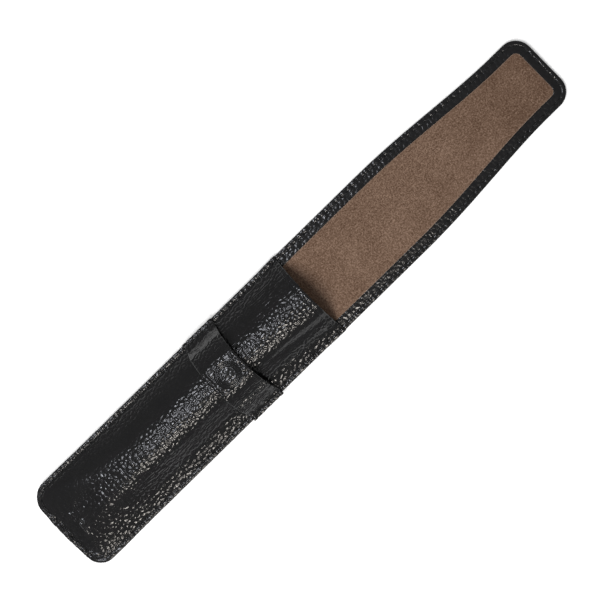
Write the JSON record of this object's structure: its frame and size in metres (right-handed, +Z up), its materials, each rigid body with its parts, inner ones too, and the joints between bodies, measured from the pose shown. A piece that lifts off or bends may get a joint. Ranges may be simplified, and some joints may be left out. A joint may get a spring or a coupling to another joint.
{
  "type": "fountain pen case",
  "caption": "Slim soft leather case for one fountain pen: an arched sewn pouch with a long suede-lined flap that folds over the mouth, and a keeper strap across the front.",
  "frame": {"origin": "on the back face, below the middle of the pouch's mouth edge", "axes": "+X along the case towards the flap's tip, +Y across it, +Z up from the back face towards the front panel; the case lies open with its back face on z = 0"},
  "size_m": [0.317, 0.0494, 0.0206],
  "materials": {
    "leather": "pebbled, semi-gloss, black",
    "suede": "napped suede, matte, brown",
    "thread": "waxed sewing thread, black",
    "stiffener": "bonded leather board, matte"
  },
  "bodies": {
    "pouch": {"back_panel": "leather", "back_lining": "suede", "front_panel": "leather", "front_lining": "suede", "seam_thread_front": "thread", "seam_thread_back": "thread", "mouth_thread": "thread", "keeper_strap": "leather", "keeper_lining": "leather", "keeper_thread": "thread"},
    "fold": {"fold_outer": "leather", "fold_lining": "suede", "fold_border_left": "leather", "fold_border_right": "leather", "fold_thread": "thread"},
    "flap": {"flap_outer": "leather", "flap_stiffener": "stiffener", "flap_lining": "suede", "flap_border": "leather", "flap_thread_inner": "thread", "flap_thread_outer": "thread"}
  },
  "joints": [
    {"name": "fold_1", "type": "hinge", "parent": "pouch", "child": "fold", "pos_m": [0.0015, 0, 0.002], "axis": [0, -1, 0], "range_deg": [0, 90]},
    {"name": "fold_2", "type": "hinge", "parent": "fold", "child": "flap", "pos_m": [0.02085, 0, 0.002], "axis": [0, -1, 0], "range_deg": [0, 90]}
  ],
  "couplings": [
    {"joint": "fold_2", "follows": "fold_1", "ratio": 1}
  ]
}
